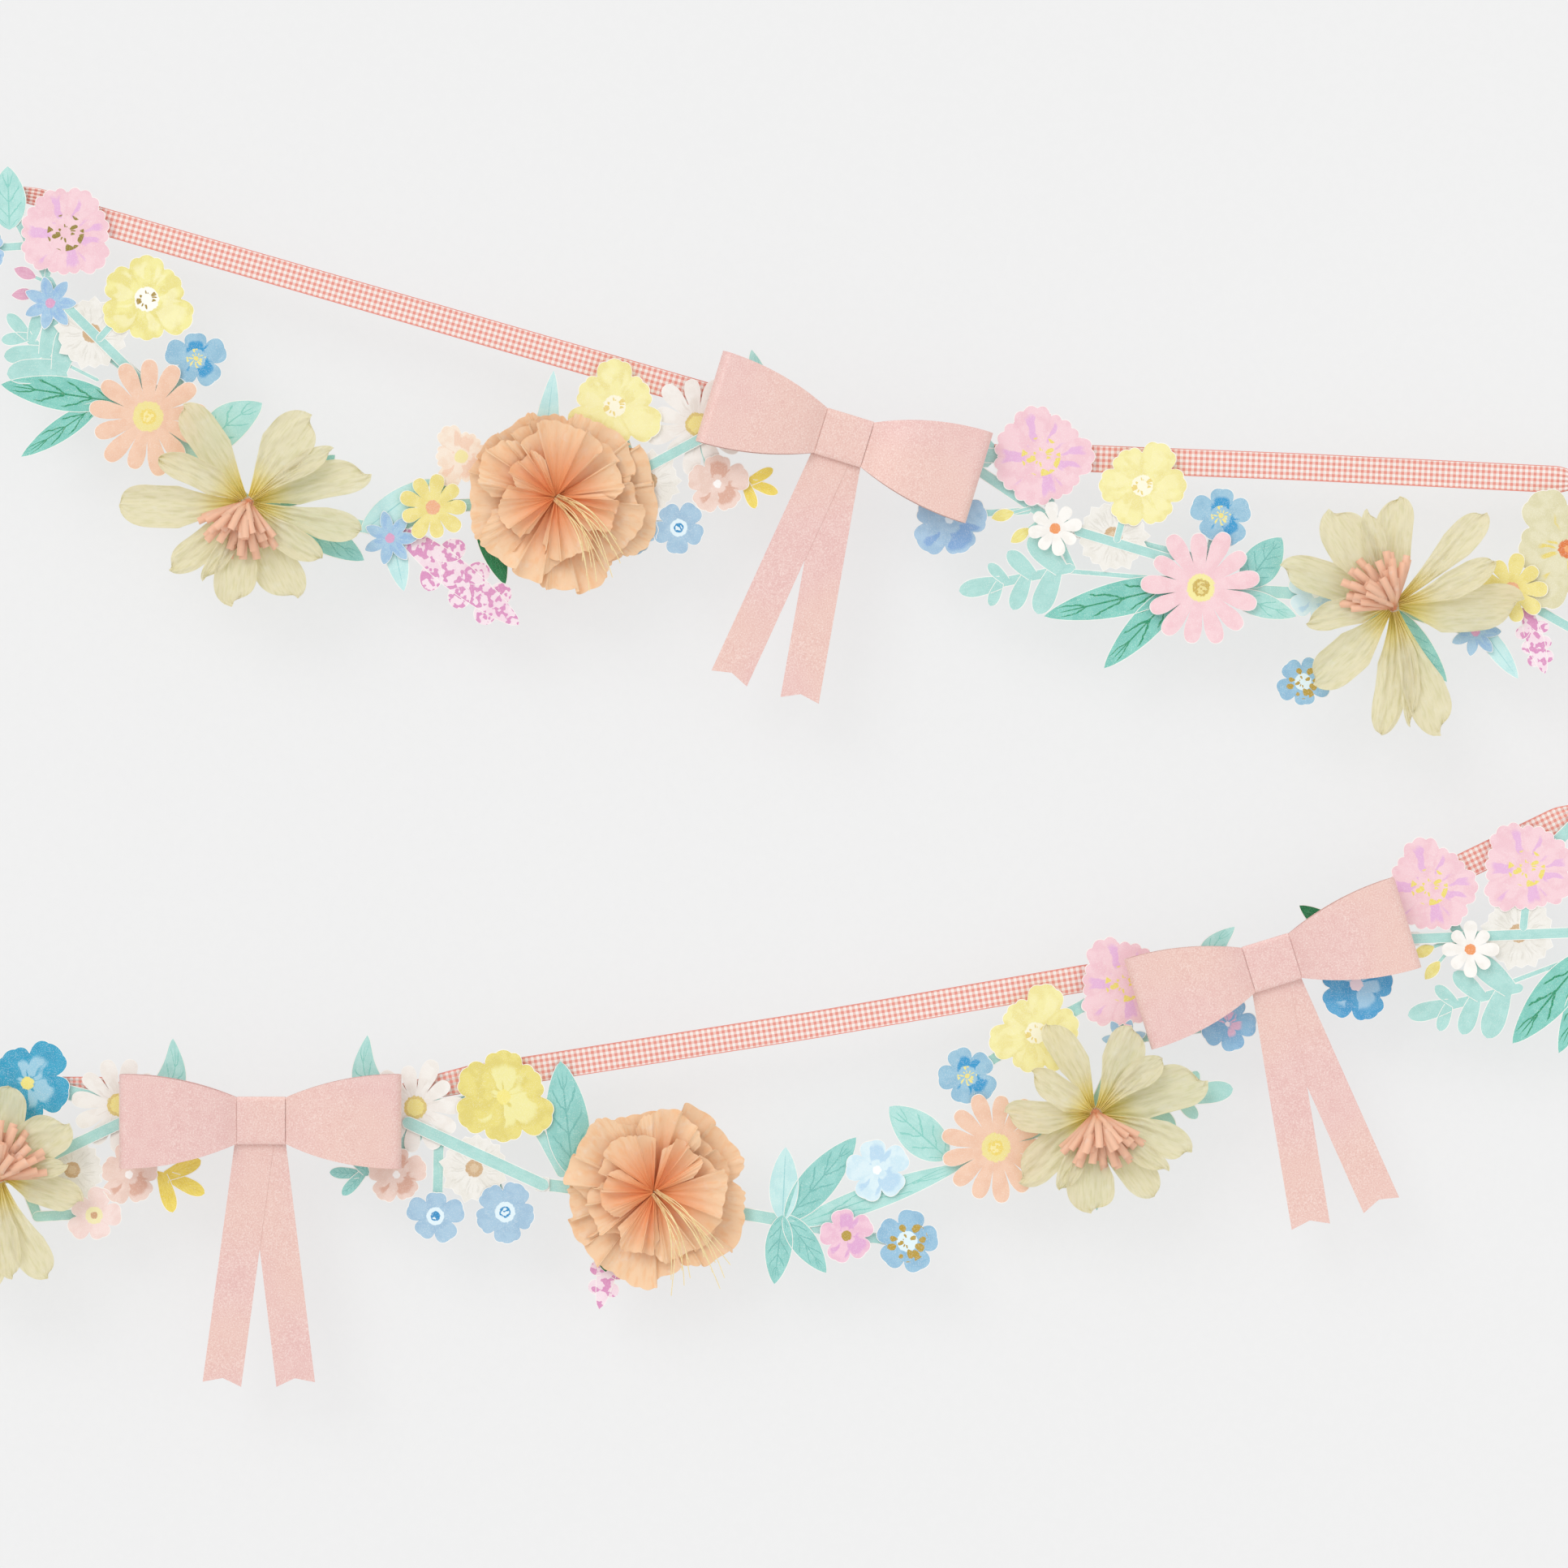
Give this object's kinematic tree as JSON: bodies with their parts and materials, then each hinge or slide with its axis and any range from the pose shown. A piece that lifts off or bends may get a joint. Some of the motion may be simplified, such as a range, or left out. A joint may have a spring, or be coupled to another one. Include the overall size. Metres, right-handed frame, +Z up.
{
  "type": "flower and bow garland",
  "caption": "Hanging garland: gingham ribbon in two strands with folded paper bows and die-cut card and tissue flower swags that swing on it.",
  "frame": {"origin": "centre line of the nail that the upper left ribbon loop hangs on, in the ribbon's depth", "axes": "+X to the right along the garland, +Y away from the viewer to the wall, +Z up"},
  "size_m": [1.0024, 0.0311, 0.6801],
  "materials": {
    "gingham_ribbon": "matte",
    "pearl_card": "satin",
    "printed_card": "satin",
    "daisy_card": "satin",
    "green_tissue": "matte",
    "coral_tissue": "matte",
    "peach_tissue": "matte",
    "gold_thread": "satin",
    "foam_pad": "matte"
  },
  "bodies": {
    "garland_line": {"bow_1_foam": "foam_pad", "bow_1_knot": "pearl_card", "bow_1_loops": "pearl_card", "bow_1_tails": "pearl_card", "bow_2_foam": "foam_pad", "bow_2_knot": "pearl_card", "bow_2_loops": "pearl_card", "bow_2_tails": "pearl_card", "bow_3_foam": "foam_pad", "bow_3_knot": "pearl_card", "bow_3_loops": "pearl_card", "bow_3_tails": "pearl_card", "hanging_loop_lower_left": "gingham_ribbon", "hanging_loop_lower_right": "gingham_ribbon", "hanging_loop_upper_left": "gingham_ribbon", "hanging_loop_upper_right": "gingham_ribbon", "ribbon_lower": "gingham_ribbon", "ribbon_side": "gingham_ribbon", "ribbon_upper": "gingham_ribbon"},
    "upper_left_swag": {"upper_left_a_back": "printed_card", "upper_left_a_front": "printed_card", "upper_left_b_back": "printed_card", "upper_left_b_front": "printed_card", "upper_left_carnation": "peach_tissue", "upper_left_foam": "foam_pad", "upper_left_gold_threads": "gold_thread", "upper_left_lily_petals": "green_tissue", "upper_left_lily_tuft": "coral_tissue", "upper_left_peach_daisy": "daisy_card", "upper_left_white_daisy": "daisy_card", "upper_left_yellow_daisy": "daisy_card"},
    "upper_right_swag": {"upper_right_back": "printed_card", "upper_right_foam": "foam_pad", "upper_right_front": "printed_card", "upper_right_lily_petals": "green_tissue", "upper_right_lily_tuft": "coral_tissue", "upper_right_pink_daisy": "daisy_card", "upper_right_white_daisy": "daisy_card", "upper_right_yellow_daisy": "daisy_card"},
    "lower_left_swag": {"lower_left_back": "printed_card", "lower_left_foam": "foam_pad", "lower_left_front": "printed_card", "lower_left_lily_petals": "green_tissue", "lower_left_lily_tuft": "coral_tissue", "lower_left_white_daisy": "daisy_card"},
    "lower_middle_swag": {"lower_middle_a_back": "printed_card", "lower_middle_a_front": "printed_card", "lower_middle_b_back": "printed_card", "lower_middle_b_front": "printed_card", "lower_middle_carnation": "peach_tissue", "lower_middle_foam": "foam_pad", "lower_middle_gold_threads": "gold_thread", "lower_middle_lily_petals": "green_tissue", "lower_middle_lily_tuft": "coral_tissue", "lower_middle_peach_daisy": "daisy_card", "lower_middle_white_daisy": "daisy_card"},
    "lower_right_swag": {"lower_right_back": "printed_card", "lower_right_foam": "foam_pad", "lower_right_front": "printed_card", "lower_right_white_daisy": "daisy_card"}
  },
  "joints": [
    {"name": "upper_left_swing", "type": "hinge", "parent": "garland_line", "child": "upper_left_swag", "pos_m": [0.0396, 0.00142, -0.00675], "axis": [0.9611, 0, -0.2763], "range_deg": [-2, 12]},
    {"name": "upper_right_swing", "type": "hinge", "parent": "garland_line", "child": "upper_right_swag", "pos_m": [0.59175, 0.00224, -0.15255], "axis": [0.9987, 0, -0.0513], "range_deg": [-2, 12]},
    {"name": "lower_left_swing", "type": "hinge", "parent": "garland_line", "child": "lower_left_swag", "pos_m": [0.0315, 0.00127, -0.50895], "axis": [0.9932, 0, -0.1166], "range_deg": [-2, 12]},
    {"name": "lower_middle_swing", "type": "hinge", "parent": "garland_line", "child": "lower_middle_swag", "pos_m": [0.2466, 0.00159, -0.5166], "axis": [0.9871, 0, 0.1603], "range_deg": [-2, 12]},
    {"name": "lower_right_swing", "type": "hinge", "parent": "garland_line", "child": "lower_right_swag", "pos_m": [0.8109, 0.00433, -0.4095], "axis": [0.8997, 0, 0.4366], "range_deg": [-2, 12]}
  ]
}
